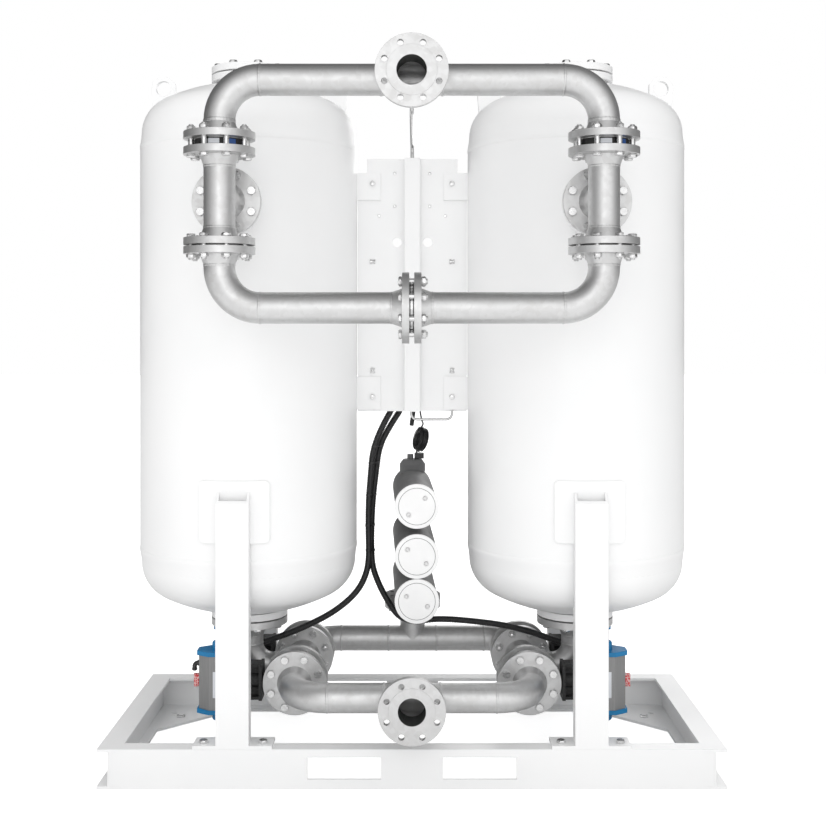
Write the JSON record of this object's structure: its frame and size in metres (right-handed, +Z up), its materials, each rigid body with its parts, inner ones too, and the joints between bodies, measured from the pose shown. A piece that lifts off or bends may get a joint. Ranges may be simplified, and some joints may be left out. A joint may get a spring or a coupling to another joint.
{
  "type": "desiccant air dryer",
  "caption": "Skid-mounted desiccant air dryer: vessels on channel legs, flanged steel headers, butterfly valves with actuators, and stacked exhaust silencers.",
  "frame": {"origin": "centre of the skid's four anchor holes, on the floor", "axes": "+X along the skid to the right seen from the air inlet, +Y from the inlet side to the cabinet side, +Z up"},
  "size_m": [1.894, 1.2058, 2.2521],
  "materials": {
    "white_paint": "satin white coating on steel",
    "galvanised_steel": "mottled hot-dip zinc",
    "zinc_plate": "bright zinc plate",
    "stainless_steel": "plain stainless steel",
    "black_casting": "black coated casting",
    "grey_aluminium": "anodised extrusion",
    "blue_cap": "blue coating",
    "red_indicator": "glossy red",
    "grey_paint": "satin dark grey coating",
    "white_plastic": "moulded white",
    "black_rubber": "dull black",
    "black_plastic": "corrugated black tubing",
    "desiccant": "white beads",
    "module_grey": "moulded grey"
  },
  "bodies": {
    "root": {"actuator_end_caps": "blue_cap", "bed_screens": "stainless_steel", "bolts": "zinc_plate", "cable_channel": "white_paint", "carrier_panel": "white_paint", "check_valve_bodies": "black_casting", "control_cabinet": "white_paint", "control_modules": "module_grey", "corner_gussets": "white_paint", "desiccant_beds": "desiccant", "exhaust_header": "galvanised_steel", "exhaust_sensor": "black_plastic", "fill_port_covers": "white_paint", "front_left_actuator": "grey_aluminium", "front_left_valve_body": "black_casting", "front_rail": "white_paint", "front_right_actuator": "grey_aluminium", "front_right_valve_body": "black_casting", "gaskets": "black_rubber", "inlet_header": "galvanised_steel", "instrument_tubes": "stainless_steel", "left_conduit": "black_plastic", "left_legs": "white_paint", "left_lower_tee": "galvanised_steel", "left_purge_pipe": "galvanised_steel", "left_side_rail": "white_paint", "left_upper_tee": "galvanised_steel", "left_vessel": "white_paint", "lifting_lugs": "white_paint", "nuts": "zinc_plate", "outlet_header": "galvanised_steel", "purge_orifice_plate": "stainless_steel", "rear_left_actuator": "grey_aluminium", "rear_left_valve_body": "black_casting", "rear_rail": "white_paint", "rear_right_actuator": "grey_aluminium", "rear_right_valve_body": "black_casting", "right_conduit": "black_plastic", "right_legs": "white_paint", "right_lower_tee": "galvanised_steel", "right_purge_pipe": "galvanised_steel", "right_side_rail": "white_paint", "right_upper_tee": "galvanised_steel", "right_vessel": "white_paint", "sensor_cable": "black_plastic", "sensor_coil": "black_plastic", "silencer_covers": "white_plastic", "silencer_housing": "grey_paint"},
    "front_left_valve": {"front_left_valve_disc": "stainless_steel", "front_left_indicator": "red_indicator"},
    "front_right_valve": {"front_right_valve_disc": "stainless_steel", "front_right_indicator": "red_indicator"},
    "rear_left_valve": {"rear_left_valve_disc": "stainless_steel", "rear_left_indicator": "red_indicator"},
    "rear_right_valve": {"rear_right_valve_disc": "stainless_steel", "rear_right_indicator": "red_indicator"},
    "left_check": {"left_check_disc": "stainless_steel"},
    "right_check": {"right_check_disc": "stainless_steel"},
    "door": {"cabinet_door": "white_paint"},
    "lock": {"door_lock": "zinc_plate"}
  },
  "joints": [
    {"name": "front_left_valve_turn", "type": "hinge", "parent": "root", "child": "front_left_valve", "pos_m": [-0.371, -0.1605, 0.262], "axis": [1, 0, 0], "range_deg": [0, 90]},
    {"name": "front_right_valve_turn", "type": "hinge", "parent": "root", "child": "front_right_valve", "pos_m": [0.371, -0.1605, 0.262], "axis": [1, 0, 0], "range_deg": [0, 90]},
    {"name": "rear_left_valve_turn", "type": "hinge", "parent": "root", "child": "rear_left_valve", "pos_m": [-0.371, 0.1605, 0.262], "axis": [1, 0, 0], "range_deg": [0, 90]},
    {"name": "rear_right_valve_turn", "type": "hinge", "parent": "root", "child": "rear_right_valve", "pos_m": [0.371, 0.1605, 0.262], "axis": [1, 0, 0], "range_deg": [0, 90]},
    {"name": "left_check_swing", "type": "hinge", "parent": "root", "child": "left_check", "pos_m": [-0.54, -0.5835, 1.90044], "axis": [-1, 0, 0], "range_deg": [0, 60]},
    {"name": "right_check_swing", "type": "hinge", "parent": "root", "child": "right_check", "pos_m": [0.54, -0.5835, 1.90044], "axis": [-1, 0, 0], "range_deg": [0, 60]},
    {"name": "door_swing", "type": "hinge", "parent": "root", "child": "door", "pos_m": [-0.157, 0.1925, 1.42], "axis": [0, 0, 1], "range_deg": [0, 110]},
    {"name": "lock_turn", "type": "hinge", "parent": "door", "child": "lock", "pos_m": [0.12, 0.2105, 1.42], "axis": [0, -1, 0], "range_deg": [0, 90]}
  ]
}
